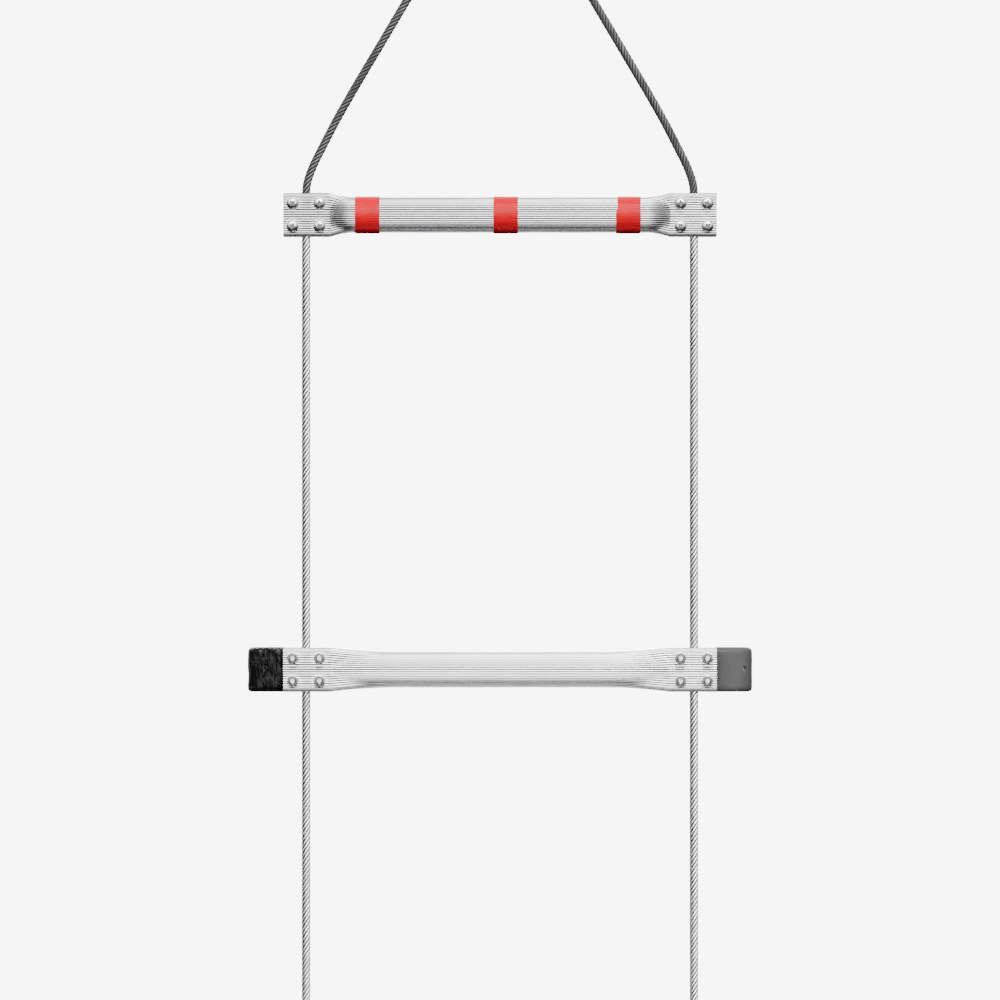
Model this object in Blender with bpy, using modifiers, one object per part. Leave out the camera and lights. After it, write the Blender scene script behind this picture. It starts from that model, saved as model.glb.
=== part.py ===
"""Escape rope ladder: a snap hook, a wire rope bridle and three ribbed aluminium rungs.

Origin: the point inside the hook's top bow that bears on the anchor. +Z is up and the wall is on +Y.
"""

from math import acos, cos, pi, radians, sin

import bmesh
import bpy
from mathutils import Matrix, Vector

# ---- driving dimensions, in metres ----
CLEAR_WIDTH = 0.300  # between the two side ropes
ROPE_D = 0.007
RUNG_PITCH = 0.360
BRIDLE_DROP = 0.466  # from the anchor point to the top rung's centre
RUNG_HALF = 0.1715
TUBE_D = 0.028
TUBE_WALL = 0.002
FLAT_HEIGHT = 0.035
FLAT_DEPTH = 0.012
FLAT_START = 0.1345  # where the pressed end begins, from the rung's middle
FLAT_CORNER = 0.0045
RUNG_TAPERS = (0.0185, 0.050, 0.050)  # lengths over which each rung goes from round to pressed
SCREW_D = 0.005
STANDOFF = 0.100  # from the rungs' middle plane to the wall
HOOK_BAR_D = 0.010
HOOK_INSIDE = 0.0864  # clear length inside the hook
GAP = 0.0003  # left between pieces that touch

# ---- worked out from them ----
ROPE_R = ROPE_D / 2
ROPE_X = (CLEAR_WIDTH + ROPE_D) / 2
RUNG_Z = [-BRIDLE_DROP - RUNG_PITCH * n for n in range(3)]
SCREW_DX = 0.0106  # from the rope, sideways
SCREW_DZ = 0.0090
HEAD_D = 0.0095
HEAD_H = 0.0034
NUT_ACROSS = 0.0080
NUT_H = 0.0040
BAND_X = (-0.1050, 0.0045, 0.1015)
BAND_WIDTH = 0.0194
BAND_R = TUBE_D / 2 + GAP
BAND_WALL = 0.0006
STRAP_HEIGHT = 0.030
STRAP_THICK = 0.0025
SLEEVE_WALL = 0.0025
SLEEVE_REACH = 0.0285  # how far a sleeve shows past its rung's end
SLEEVE_EDGE = 0.0016
STRAP_SHORT = 0.0045  # how far a strap stops short of its sleeve's closed end
STRAP_LAP = 0.0075  # how far a strap runs past its inner screws
DRAIN_R = 0.0011
DRAIN_X = RUNG_HALF + 0.0222
HOOK_R = HOOK_BAR_D / 2
TOP_BOW_R = 0.020
LOW_BOW_R = 0.018
TOP_BOW_Z = HOOK_R - TOP_BOW_R
LOW_BOW_Z = -HOOK_INSIDE - HOOK_R + LOW_BOW_R
GATE_PIVOT = Vector((0, -0.0185, -0.0660))
GATE_TIP = Vector((0, -0.0198, -0.0195))
GATE_R = 0.0047
RIVET_R = 0.0017
LUG_WIDTH = 0.0060  # the hook's pivot lug before its flanks are cut
FLANK_R = 0.0066
FLANK_X = 0.0051
FORK_WIDTH = 0.0048
NOSE_WIDTH = 0.0030
NOSE_SLOT = 0.0036
EYE_Z = -HOOK_INSIDE + GAP - 0.0113
FERRULE_TOP = -0.126
FERRULE_LENGTH = 0.030
FERRULE_R = 0.0062
FERRULE_HALF_WIDTH = 0.0099
STOP_R = 0.0066
STOP_LENGTH = 0.0160
ROPE_TAIL = 0.038  # from the bottom rung's centre down to the rope's end
LEG_X = 0.0038  # from the middle to each leg inside the ferrule
SMOOTH = 24  # sides of a round piece

for leftover in list(bpy.data.objects):
    bpy.data.objects.remove(leftover, do_unlink=True)


def collection(name):
    made = bpy.data.collections.new(name)
    bpy.context.scene.collection.children.link(made)
    return made


PARTS = collection("escape_rope_ladder")
CUTTERS = collection("cutters")


def material(name, colour, roughness, metallic):
    made = bpy.data.materials.new(name)
    made.use_nodes = True
    shader = made.node_tree.nodes["Principled BSDF"]
    shader.inputs["Base Color"].default_value = (*colour, 1)
    shader.inputs["Roughness"].default_value = roughness
    shader.inputs["Metallic"].default_value = metallic
    return made


def shade(mesh):
    mesh.shade_smooth()
    mesh.set_sharp_from_angle(angle=radians(35))


def add(name, mesh, look, where=PARTS):
    """Make a named object from a mesh; look is (colour, roughness, metallic)."""
    made = bpy.data.objects.new(name, mesh)
    where.objects.link(made)
    if where is CUTTERS:
        made.hide_render = True
        made.display_type = "WIRE"
    else:
        mesh.materials.append(material(name, *look))
    return made


def mesh_from(build):
    """A mesh made by build(bm)."""
    mesh = bpy.data.meshes.new("mesh")
    bm = bmesh.new()
    build(bm)
    bmesh.ops.recalc_face_normals(bm, faces=bm.faces)
    bm.to_mesh(mesh)
    bm.free()
    shade(mesh)
    return mesh


def rod_mesh(radius, length, axis, sides=SMOOTH):
    """A capped cylinder about its own middle, along axis."""
    turn = Vector((0, 0, 1)).rotation_difference(Vector(axis)).to_matrix().to_4x4()

    def build(bm):
        bmesh.ops.create_cone(
            bm, cap_ends=True, segments=sides, radius1=radius, radius2=radius, depth=length, matrix=turn
        )

    return mesh_from(build)


def cutter(name, mesh, location=(0, 0, 0)):
    made = add(name, mesh, None, CUTTERS)
    made.location = location
    return made


def cut(target, tool, operation="DIFFERENCE"):
    modifier = target.modifiers.new(tool.name, "BOOLEAN")
    modifier.operation = operation
    modifier.object = tool


def curve_tube(name, points, radius, sides=2):
    """A round tube along points, with filled ends."""
    data = bpy.data.curves.new(name, "CURVE")
    data.dimensions = "3D"
    data.bevel_depth = radius
    data.bevel_resolution = sides
    data.use_fill_caps = True
    spline = data.splines.new("POLY")
    spline.points.add(len(points) - 1)
    for point, place in zip(spline.points, points):
        point.co = (*place, 1)
    spline.use_smooth = True
    return data


def add_tube(name, points, radius, look, sides=2):
    data = curve_tube(name, points, radius, sides)
    data.materials.append(material(name, *look))
    made = bpy.data.objects.new(name, data)
    PARTS.objects.link(made)
    return made


def baked(data, merge=0.00001):
    """A curve's mesh with its loose caps welded on."""
    carrier = bpy.data.objects.new("carrier", data)
    CUTTERS.objects.link(carrier)
    bpy.context.view_layer.update()
    evaluated = carrier.evaluated_get(bpy.context.evaluated_depsgraph_get())
    mesh = bpy.data.meshes.new_from_object(evaluated)
    bpy.data.objects.remove(carrier)
    bpy.data.curves.remove(data)
    bm = bmesh.new()
    bm.from_mesh(mesh)
    bmesh.ops.remove_doubles(bm, verts=bm.verts, dist=merge)
    bmesh.ops.dissolve_limit(bm, angle_limit=radians(0.5), verts=bm.verts, edges=bm.edges)
    bmesh.ops.recalc_face_normals(bm, faces=bm.faces)
    bm.to_mesh(mesh)
    bm.free()
    shade(mesh)
    return mesh


def outline_mesh(loops, thickness):
    """Flat outlines in X and Y, filled between, thickness along Z about the middle."""
    data = bpy.data.curves.new("outline", "CURVE")
    data.dimensions = "2D"
    data.fill_mode = "BOTH"
    data.extrude = thickness / 2
    for loop in loops:
        spline = data.splines.new("POLY")
        spline.points.add(len(loop) - 1)
        for point, (x, y) in zip(spline.points, loop):
            point.co = (x, y, 0, 1)
        spline.use_cyclic_u = True
    return baked(data)


def arc(centre, radius, start, end, steps):
    """Points on a circle from one angle to another, in degrees, both ends included."""
    angles = [radians(start + (end - start) * n / steps) for n in range(steps + 1)]
    return [(centre[0] + radius * cos(a), centre[1] + radius * sin(a)) for a in angles]


def stadium(half_x, radius, steps=8):
    side = half_x - radius
    return arc((side, 0), radius, -90, 90, steps) + arc((-side, 0), radius, 90, 270, steps)


def smooth_route(route, steps):
    """Points read from one smooth curve through the route, steps to each stretch."""
    route = [Vector(p) for p in route]
    ends = [2 * route[0] - route[1], *route, 2 * route[-1] - route[-2]]
    points = []
    for before, a, b, after in zip(ends, ends[1:], ends[2:], ends[3:]):
        for n in range(steps):
            t = n / steps
            points.append(
                0.5 * (2 * a + (b - before) * t
                       + (2 * before - 5 * a + 4 * b - after) * t**2
                       + (3 * a - before - 3 * b + after) * t**3)
            )
    return points + [route[-1]]


# ---- looks: colour, roughness, metallic ----
ALUMINIUM = ((0.74, 0.75, 0.77), 0.35, 1.0)
ZINC = ((0.62, 0.63, 0.64), 0.30, 1.0)
BRIGHT_ROPE = ((0.66, 0.67, 0.68), 0.35, 1.0)
DULL_ROPE = ((0.22, 0.22, 0.21), 0.45, 0.9)
RED = ((0.80, 0.01, 0.02), 0.25, 0.0)
RUBBER = ((0.035, 0.036, 0.038), 0.55, 0.0)
FORGED = ((0.50, 0.51, 0.52), 0.35, 1.0)
SPRING_STEEL = ((0.35, 0.35, 0.36), 0.30, 1.0)


# ---- rungs ----
def round_section(turn):
    return Vector((0, cos(turn), sin(turn))) * TUBE_D / 2


def flat_section(turn):
    """The point of the pressed, round-cornered section that lies in a direction."""
    half = Vector((0, FLAT_DEPTH / 2, FLAT_HEIGHT / 2))
    way = Vector((0, cos(turn), sin(turn)))
    reach = min(half[k] / abs(way[k]) for k in (1, 2) if abs(way[k]) > 1e-9)
    point = way * reach
    core = Vector((0, half.y - FLAT_CORNER, half.z - FLAT_CORNER))
    over_y = abs(point.y) - core.y
    over_z = abs(point.z) - core.z
    if over_y > 0 and over_z > 0:
        middle = Vector((0, core.y if point.y > 0 else -core.y, core.z if point.z > 0 else -core.z))
        along = way.dot(middle)
        point = way * (along + (along**2 - middle.length_squared + FLAT_CORNER**2) ** 0.5)
    return point


def section_turn(n, sides, flat):
    """Spread the points evenly round the tube, but evenly along the pressed face once flat."""
    turn = 2 * pi * (n + 0.5) / sides
    tall = FLAT_HEIGHT / FLAT_DEPTH
    squeezed = Vector((cos(turn), sin(turn) * (1 + (tall - 1) * flat)))
    return squeezed.angle_signed(Vector((1, 0))) if squeezed.length else turn


def rung_mesh(taper):
    """Half a rung's outer skin, from its middle to its end, open at both."""
    sides = 24
    stations = [(0.0, 0.0)]
    stations += [(FLAT_START - taper * (1 - n / 4), (1 - cos(pi * n / 4)) / 2) for n in range(5)]
    stations += [(RUNG_HALF, 1.0)]

    def build(bm):
        rings = []
        for x, flat in stations:
            ring = []
            for n in range(sides):
                turn = section_turn(n, sides, flat)
                point = round_section(turn).lerp(flat_section(turn), flat)
                ring.append(bm.verts.new((x, point.y, point.z)))
            rings.append(ring)
        for here, there in zip(rings, rings[1:]):
            for n in range(sides):
                m = (n + 1) % sides
                bm.faces.new((here[n], there[n], there[m], here[m]))

    return mesh_from(build)


def screw_places(rung_z):
    """The middles of a rung's eight screws, left end first."""
    return [
        Vector((side * ROPE_X + dx, 0, rung_z + dz))
        for side in (-1, 1)
        for dz in (SCREW_DZ, -SCREW_DZ)
        for dx in (-SCREW_DX, SCREW_DX)
    ]


def add_rung(name, rung_z, taper):
    rung = add(name, rung_mesh(taper), ALUMINIUM)
    rung.location.z = rung_z
    mirror = rung.modifiers.new("other_half", "MIRROR")
    mirror.merge_threshold = 0.00005
    wall = rung.modifiers.new("wall", "SOLIDIFY")
    wall.thickness = TUBE_WALL
    wall.offset = -1
    wall.use_even_offset = True
    rope_hole = rod_mesh(ROPE_R + 0.00035, 2 * FLAT_HEIGHT, (0, 0, 1), 12)
    for side in (-1, 1):
        cut(rung, cutter(f"{name}_rope_hole_{side}", rope_hole, (side * ROPE_X, 0, rung_z)))
    screw_hole = rod_mesh(SCREW_D / 2 + GAP, 2 * FLAT_DEPTH, (0, 1, 0), 10)
    for n, place in enumerate(screw_places(rung_z)):
        cut(rung, cutter(f"{name}_screw_hole_{n}", screw_hole, place))
    return rung


def add_band(name, x):
    """A thin ring of red tape round the top rung."""
    band = add(name, mesh_from(lambda bm: ring(bm, BAND_R, BAND_R + BAND_WALL, BAND_WIDTH)), RED)
    band.location = (x, 0, RUNG_Z[0])


def ring(bm, inner, outer, width, sides=32):
    """A flat-ended ring about X, spun from its section."""
    half = width / 2
    corners = [(-half, inner), (half, inner), (half, outer), (-half, outer)]
    verts = [bm.verts.new((x, 0, r)) for x, r in corners]
    edges = [bm.edges.new((a, b)) for a, b in zip(verts, verts[1:] + verts[:1])]
    bmesh.ops.spin(
        bm, geom=verts + edges, cent=(0, 0, 0), axis=(1, 0, 0), angle=2 * pi, steps=sides, use_merge=True
    )
    bmesh.ops.remove_doubles(bm, verts=bm.verts, dist=0.00001)


# ---- screws and nuts ----
def turned(name, profile, look, location, tip):
    """A profile of (radius, height), top to bottom down its outer side, turned about tip."""
    mesh = bpy.data.meshes.new(name)
    mesh.from_pydata([(r, 0, h) for r, h in profile], [(n, n + 1) for n in range(len(profile) - 1)], [])
    made = add(name, mesh, look)
    screw = made.modifiers.new("turn", "SCREW")
    screw.steps = 12
    screw.render_steps = 12
    screw.use_merge_vertices = True
    screw.merge_threshold = 0.00001
    screw.use_smooth_shade = True
    made.location = location
    made.rotation_euler = Vector((0, 0, 1)).rotation_difference(Vector(tip)).to_euler()
    return made


def screw_profile(reach):
    """A pan head above height 0 and a shank reach long below it."""
    head, shank = HEAD_D / 2, SCREW_D / 2
    dome = [(head * sin(a), HEAD_H * (0.35 + 0.65 * cos(a))) for a in (0, 0.5, 0.95, pi / 2)]
    return dome + [(head, 0), (shank, 0), (shank, -reach), (0, -reach)]


def nut_mesh():
    """A hexagon with its hole, about Y."""
    corner = NUT_ACROSS / 2 / cos(pi / 6)
    hexagon = [(corner * cos(a), corner * sin(a)) for a in (pi / 3 * n for n in range(6))]
    hole = arc((0, 0), SCREW_D / 2 + GAP, 0, 330, 11)
    mesh = outline_mesh([hexagon, hole], NUT_H)
    mesh.transform(Matrix.Rotation(pi / 2, 4, "X"))
    return mesh


def add_fasteners(rung, rung_z, head_side, behind, spare):
    """Eight screws and nuts. head_side is -1 with the heads in front, and behind is what lies
    between the rung's back and the piece clamped on it; spare is the thread past each nut."""
    front = -FLAT_DEPTH / 2 - GAP
    back = FLAT_DEPTH / 2 + GAP + behind
    seat, nut_seat = (front, back) if head_side < 0 else (back, front)
    reach = abs(nut_seat - seat) + NUT_H + spare
    nut = nut_mesh()
    for n, place in enumerate(screw_places(rung_z), 1):
        at_head = place + Vector((0, seat, 0))
        turned(f"{rung}_screw_{n}", screw_profile(reach), ZINC, at_head, (0, head_side, 0))
        made = add(f"{rung}_nut_{n}", nut, ZINC) if n == 1 else copy_of(f"{rung}_nut_{n}", nut)
        made.location = place + Vector((0, nut_seat - head_side * NUT_H / 2, 0))


def copy_of(name, mesh):
    made = bpy.data.objects.new(name, mesh)
    PARTS.objects.link(made)
    return made


# ---- standoffs ----
def strap_line(inset):
    """A strap's bent middle line in X and Y on the right side, shortened by inset at the foot."""
    y_back = FLAT_DEPTH / 2 + GAP + STRAP_THICK / 2
    x_out = RUNG_HALF + SLEEVE_REACH - SLEEVE_WALL - STRAP_THICK / 2
    y_wall = STANDOFF - SLEEVE_WALL - STRAP_THICK / 2
    bend = 0.0075
    foot = 0.026
    line = arc((x_out - bend, y_back + bend), bend, -90, 0, 5)
    line += arc((x_out - bend, y_wall - bend), bend, 0, 90, 5)
    return line + [(x_out - foot + inset, y_wall)]


def strip(line, half):
    """A closed outline half wide to each side of a line."""
    left, right = [], []
    for n, (x, y) in enumerate(line):
        a = Vector(line[max(n - 1, 0)])
        b = Vector(line[min(n + 1, len(line) - 1)])
        across = (b - a).normalized().orthogonal()
        widen = 1.0
        if 0 < n < len(line) - 1:
            bend = (Vector(line[n]) - a).angle(b - Vector(line[n]), 0)
            widen = 1 / cos(bend / 2)
        left.append((x + across.x * half * widen, y + across.y * half * widen))
        right.append((x - across.x * half * widen, y - across.y * half * widen))
    return left + right[::-1]


def mirrored(mesh):
    """The same mesh on the left side, with its faces still pointing out."""
    mesh.transform(Matrix.Scale(-1, 4, (1, 0, 0)))
    mesh.flip_normals()
    return mesh


def sided(side, mesh):
    return mesh if side > 0 else mirrored(mesh)


def add_standoff(side_name, side):
    strap_y = FLAT_DEPTH / 2 + GAP + STRAP_THICK / 2
    inner_end = ROPE_X - SCREW_DX - STRAP_LAP
    sleeve_start = RUNG_HALF + GAP
    bare = [(inner_end, strap_y)] + strap_line(STRAP_SHORT)
    bar = outline_mesh([strip(bare, STRAP_THICK / 2)], STRAP_HEIGHT)
    strap = add(f"{side_name}_standoff_strap", sided(side, bar), ZINC)
    strap.location.z = RUNG_Z[1]
    hole = rod_mesh(SCREW_D / 2 + GAP, 0.02, (0, 1, 0), 12)
    places = [p for p in screw_places(RUNG_Z[1]) if p.x * side > 0]
    for n, place in enumerate(places):
        cut(strap, cutter(f"{side_name}_strap_hole_{n}", hole, place + Vector((0, strap_y, 0))))

    skin = [(sleeve_start, strap_y)] + strap_line(0)
    outer = outline_mesh([strip(skin, STRAP_THICK / 2 + SLEEVE_WALL)], STRAP_HEIGHT + 2 * SLEEVE_WALL)
    sleeve = add(f"{side_name}_standoff_sleeve", sided(side, outer), RUBBER)
    sleeve.location.z = RUNG_Z[1]
    edge = sleeve.modifiers.new("round_edges", "BEVEL")
    edge.width = SLEEVE_EDGE
    edge.segments = 2
    edge.limit_method = "ANGLE"
    edge.angle_limit = radians(50)
    pocket = [(inner_end, strap_y)] + strap_line(STRAP_SHORT - GAP)
    inner = outline_mesh([strip(pocket, STRAP_THICK / 2 + GAP)], STRAP_HEIGHT + 2 * GAP)
    cut(sleeve, cutter(f"{side_name}_sleeve_pocket", sided(side, inner), (0, 0, RUNG_Z[1])))
    if side > 0:
        drain = rod_mesh(DRAIN_R, 0.004, (0, 1, 0), 12)
        face_y = strap_y - STRAP_THICK / 2 - SLEEVE_WALL
        cut(sleeve, cutter("sleeve_drain", drain, (DRAIN_X, face_y, RUNG_Z[1] + 0.001)))


# ---- hook ----
def hook_line():
    """The hook bar's middle line, in Y and Z, from the gate's nose over the top to the pivot."""
    top, low = (0, TOP_BOW_Z), (0, LOW_BOW_Z)
    lean = 90 - acos((TOP_BOW_R - LOW_BOW_R) / (TOP_BOW_Z - LOW_BOW_Z)) * 180 / pi
    line = arc(top, TOP_BOW_R, 180, -lean, 14)
    line += arc(low, LOW_BOW_R, -lean, -178, 15)
    line.append((GATE_PIVOT.y + 0.0004, GATE_PIVOT.z - 0.0030))
    return [Vector((0, y, z)) for y, z in line]


def add_hook():
    line = hook_line()
    frame = add("hook_frame", baked(curve_tube("hook_bar", line, HOOK_R, 4)), FORGED)
    cheeks = rod_mesh(HOOK_R + 0.0006, LUG_WIDTH, (1, 0, 0), 20)
    cut(frame, cutter("pivot_lug", cheeks, GATE_PIVOT), "UNION")
    for side in (-1, 1):
        flank = rod_mesh(FLANK_R, LUG_WIDTH, (1, 0, 0), 20)
        cut(frame, cutter(f"pivot_flank_{side}", flank, GATE_PIVOT + Vector((side * FLANK_X, 0, 0))))
    cut(frame, cutter("rivet_hole", rod_mesh(RIVET_R + GAP, 0.02, (1, 0, 0), 12), GATE_PIVOT))
    nose = box_mesh((NOSE_WIDTH, 0.0036, 0.0080))
    cut(frame, cutter("nose_tooth", nose, GATE_TIP + Vector((0, -0.0004, 0.0018))), "UNION")


def box_mesh(size):
    def build(bm):
        bmesh.ops.create_cube(bm, size=1)
        bmesh.ops.scale(bm, vec=size, verts=bm.verts)

    return mesh_from(build)


def add_gate():
    """The gate's own origin is its pivot; its bar runs up from there to the nose."""
    along = GATE_TIP - GATE_PIVOT
    tip = along.length
    lean = Vector((0, 0, 1)).rotation_difference(along)
    gate = add("hook_gate", rod_mesh(GATE_R, tip + 0.0004, (0, 0, 1), 20), FORGED)
    gate.data.transform(Matrix.Translation((0, 0, tip / 2)))
    gate.location = GATE_PIVOT
    gate.rotation_mode = "QUATERNION"
    gate.rotation_quaternion = lean
    tools = [
        ("gate_heel", rod_mesh(0.0050, 0.0096, (1, 0, 0), 20), Vector((0, 0, 0)), "UNION"),
        ("gate_fork", box_mesh((FORK_WIDTH, 0.0200, 0.0190)), Vector((0, 0, -0.0023)), "DIFFERENCE"),
        ("gate_bore", rod_mesh(0.0021, 0.0240, (0, 0, 1), 12), Vector((0, 0, 0.0150)), "DIFFERENCE"),
        ("gate_rivet_hole", rod_mesh(RIVET_R + GAP, 0.02, (1, 0, 0), 12), Vector((0, 0, 0)), "DIFFERENCE"),
        ("gate_slot", box_mesh((NOSE_SLOT, 0.0074, 0.0080)), Vector((0, -0.0015, tip)), "DIFFERENCE"),
    ]
    for name, mesh, place, operation in tools:
        made = cutter(name, mesh, GATE_PIVOT + lean @ place)
        made.rotation_mode = "QUATERNION"
        made.rotation_quaternion = lean
        cut(gate, made, operation)
    add_gate_spring(lean)


def add_gate_spring(lean):
    turns, wire, coil_r = 6, 0.0003, 0.0014
    start, end = 0.0075, 0.0262
    steps = 10 * turns
    points = []
    for n in range(steps + 1):
        a = 2 * pi * turns * n / steps
        z = start + (end - start) * n / steps
        points.append(GATE_PIVOT + lean @ Vector((coil_r * cos(a), coil_r * sin(a), z)))
    add_tube("gate_spring", points, wire, SPRING_STEEL, 0)


def add_rivet():
    half = 0.0050 + GAP
    profile = [(0, half + 0.0010), (0.0022, half + 0.0008), (0.0026, half)]
    profile += [(RIVET_R, half), (RIVET_R, -half)]
    profile += [(0.0026, -half), (0.0022, -half - 0.0008), (0, -half - 0.0010)]
    turned("gate_rivet", profile, ZINC, GATE_PIVOT, (1, 0, 0))


# ---- rope eye and bridle ----
# Half of the bridle's route in X and Z, from inside the top rung to the top of the eye; heights
# below 0 are from the anchor point, and the other half mirrors it.
BRIDLE_ROUTE = [
    (0.1535, -0.4658), (0.1535, -0.4570), (0.1535, -0.4490), (0.1526, -0.4410), (0.1502, -0.4330),
    (0.1466, -0.4245), (0.1398, -0.4110), (0.1300, -0.3920), (0.1152, -0.3660), (0.0974, -0.3360),
    (0.0796, -0.3060), (0.0618, -0.2760), (0.0448, -0.2470), (0.0288, -0.2200), (0.0172, -0.1995),
    (0.0098, -0.1840), (0.0056, -0.1710), (0.0039, -0.1600), (0.0038, -0.1500), (0.0038, -0.1380),
    (0.0038, -0.1265), (0.0062, -0.1172), (0.0120, -0.1085), (0.0158, -0.1010), (0.0166, -0.0935),
    (0.0145, -0.0876), (0.0100, -0.0830), (0.0050, -0.0804), (0.0000, -0.0797),
]


def bridle_points():
    half = [(x, 0, z) for x, z in BRIDLE_ROUTE]
    whole = half + [(-x, 0, z) for x, _, z in half[-2::-1]]
    points = smooth_route(whole, 3)
    kept = [points[0]]
    for before, here in zip(points, points[1:]):
        in_eye = here.z > FERRULE_TOP - 0.004
        spacing = 0.0040 if in_eye else 0.0130
        if (here - kept[-1]).length >= spacing:
            kept.append(here)
    if (points[-1] - kept[-1]).length < 0.004:
        kept.pop()
    return kept + [points[-1]]


def side_route(side, upper, lower):
    """A rope span's route from inside one rung to inside, or below, the next."""
    x = side * ROPE_X
    count = 7
    return [(x, 0, upper + (lower - upper) * n / count) for n in range(count + 1)]


def add_ropes():
    add_tube("bridle_rope", bridle_points(), ROPE_R, DULL_ROPE)
    inside = GAP / 2
    rope_end = RUNG_Z[2] - ROPE_TAIL
    for side_name, side in (("left", -1), ("right", 1)):
        upper = side_route(side, RUNG_Z[0] - inside, RUNG_Z[1] + inside)
        lower = side_route(side, RUNG_Z[1] - inside, rope_end)
        add_tube(f"{side_name}_upper_rope", smooth_route(upper, 3), ROPE_R, BRIGHT_ROPE)
        add_tube(f"{side_name}_lower_rope", smooth_route(lower, 3), ROPE_R, BRIGHT_ROPE)
        rim = arc((0, 0), STOP_R, 0, 345, 23)
        bore = arc((0, 0), ROPE_R + GAP, 0, 330, 11)
        stop = outline_mesh([rim, bore], STOP_LENGTH)
        made = add(f"{side_name}_stop_ferrule", stop, ALUMINIUM)
        made.location = (side * ROPE_X, 0, RUNG_Z[2] - FLAT_HEIGHT / 2 - GAP - STOP_LENGTH / 2)


def add_eye_ferrule():
    outer = stadium(FERRULE_HALF_WIDTH, FERRULE_R)
    hole = stadium(LEG_X + ROPE_R + GAP, ROPE_R + GAP)
    made = add("eye_ferrule", outline_mesh([outer, hole], FERRULE_LENGTH), ALUMINIUM)
    made.location.z = FERRULE_TOP - FERRULE_LENGTH / 2


def add_thimble():
    """A grooved strip inside the rope's eye, swept along the rope's own line."""
    start = next(n for n, (x, z) in enumerate(BRIDLE_ROUTE) if z > FERRULE_TOP + 0.011)
    half = [(x, 0, z) for x, z in BRIDLE_ROUTE[start:]]
    line = smooth_route(half + [(-x, 0, z) for x, _, z in half[-2::-1]], 2)
    floor_out, floor_in, lip, wall = ROPE_R + GAP, ROPE_R + GAP + 0.0014, -0.0004, 0.0013
    wide = ROPE_R + GAP
    section = [
        (wide + wall, floor_in), (-wide - wall, floor_in), (-wide - wall, lip), (-wide, lip),
        (-wide, floor_out), (wide, floor_out), (wide, lip), (wide + wall, lip),
    ]

    def build(bm):
        rings = []
        for n, place in enumerate(line):
            ahead = line[min(n + 1, len(line) - 1)] - line[max(n - 1, 0)]
            inward = Vector((0, 1, 0)).cross(ahead).normalized()
            inward *= -1 if inward.dot(Vector((0, 0, EYE_Z)) - place) < 0 else 1
            rings.append([bm.verts.new(place + Vector((0, y, 0)) + inward * r) for y, r in section])
        for here, there in zip(rings, rings[1:]):
            for k in range(len(section)):
                m = (k + 1) % len(section)
                bm.faces.new((here[k], here[m], there[m], there[k]))
        bm.faces.new(rings[0])
        bm.faces.new(rings[-1][::-1])

    add("thimble", mesh_from(build), ZINC)


def build_ladder():
    add_hook()
    add_gate()
    add_rivet()
    add_thimble()
    add_eye_ferrule()
    add_ropes()
    for name, rung_z, taper in zip(("top_rung", "middle_rung", "bottom_rung"), RUNG_Z, RUNG_TAPERS):
        add_rung(f"{name}_tube", rung_z, taper)
    for name, x in zip(("left", "centre", "right"), BAND_X):
        add_band(f"{name}_red_band", x)
    add_fasteners("top_rung", RUNG_Z[0], -1, 0.0, 0.0015)
    add_fasteners("middle_rung", RUNG_Z[1], 1, STRAP_THICK + GAP, 0.0050)
    for side_name, side in (("left", -1), ("right", 1)):
        add_standoff(side_name, side)


build_ladder()
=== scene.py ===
"""Looks for the escape rope ladder: laid wire ropes, ribbed rungs, fasteners, rubber standoffs and a hook."""

import bmesh
import bpy
import numpy as np
from math import acos, asin, cos, pi, radians, sin
from mathutils import Matrix, Vector, noise


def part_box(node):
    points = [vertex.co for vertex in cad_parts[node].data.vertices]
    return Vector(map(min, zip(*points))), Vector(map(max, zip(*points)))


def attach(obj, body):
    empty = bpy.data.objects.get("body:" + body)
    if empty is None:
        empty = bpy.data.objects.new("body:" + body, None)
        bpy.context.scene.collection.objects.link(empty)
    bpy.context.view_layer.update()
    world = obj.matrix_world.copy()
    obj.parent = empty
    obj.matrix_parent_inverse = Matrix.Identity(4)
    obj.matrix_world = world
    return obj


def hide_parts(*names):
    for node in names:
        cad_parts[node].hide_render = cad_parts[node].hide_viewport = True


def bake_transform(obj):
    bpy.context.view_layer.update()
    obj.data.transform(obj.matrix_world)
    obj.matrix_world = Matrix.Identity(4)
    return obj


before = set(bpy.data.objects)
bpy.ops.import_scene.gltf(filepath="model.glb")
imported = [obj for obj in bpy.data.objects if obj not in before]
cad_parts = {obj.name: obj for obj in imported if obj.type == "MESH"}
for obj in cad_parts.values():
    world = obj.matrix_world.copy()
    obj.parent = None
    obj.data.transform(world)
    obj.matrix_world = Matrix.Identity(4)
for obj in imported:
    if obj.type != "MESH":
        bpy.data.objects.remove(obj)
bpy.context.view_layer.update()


# ---- sizes read from the frame, in metres ----
def middle(node):
    low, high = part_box(node)
    return (Vector(low) + Vector(high)) / 2


def size(node):
    low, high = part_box(node)
    return Vector(high) - Vector(low)


RUNG_NAMES = ("top_rung", "middle_rung", "bottom_rung")
RUNG_Z = [middle(f"{name}_tube").z for name in RUNG_NAMES]
RUNG_HALF = size("top_rung_tube").x / 2
FLAT_HEIGHT = size("top_rung_tube").z
TUBE_R = 0.0140
FLAT_DEPTH = 0.0120
FLAT_START = 0.1345
CORNER_R = 0.0045
TUBE_WALL = 0.0020
ROPE_D = 0.0070
ROPE_X = middle("right_upper_rope").x
SCREW_D = 0.0050
SCREW_DX = 0.0106
SCREW_DZ = 0.0090
GAP = 0.0003
VIEW_SIZE = 0.7916  # width and height of the view at the rungs
VIEW_DROP = 0.2256  # from the top rung's centre down to the middle of the view
CAMERA_LOWER = 0.068  # how far the camera stands below the middle of the view
CAMERA_BACK = 8.0
FLOOR_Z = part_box("left_stop_ferrule")[0][2] - 0.250


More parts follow.
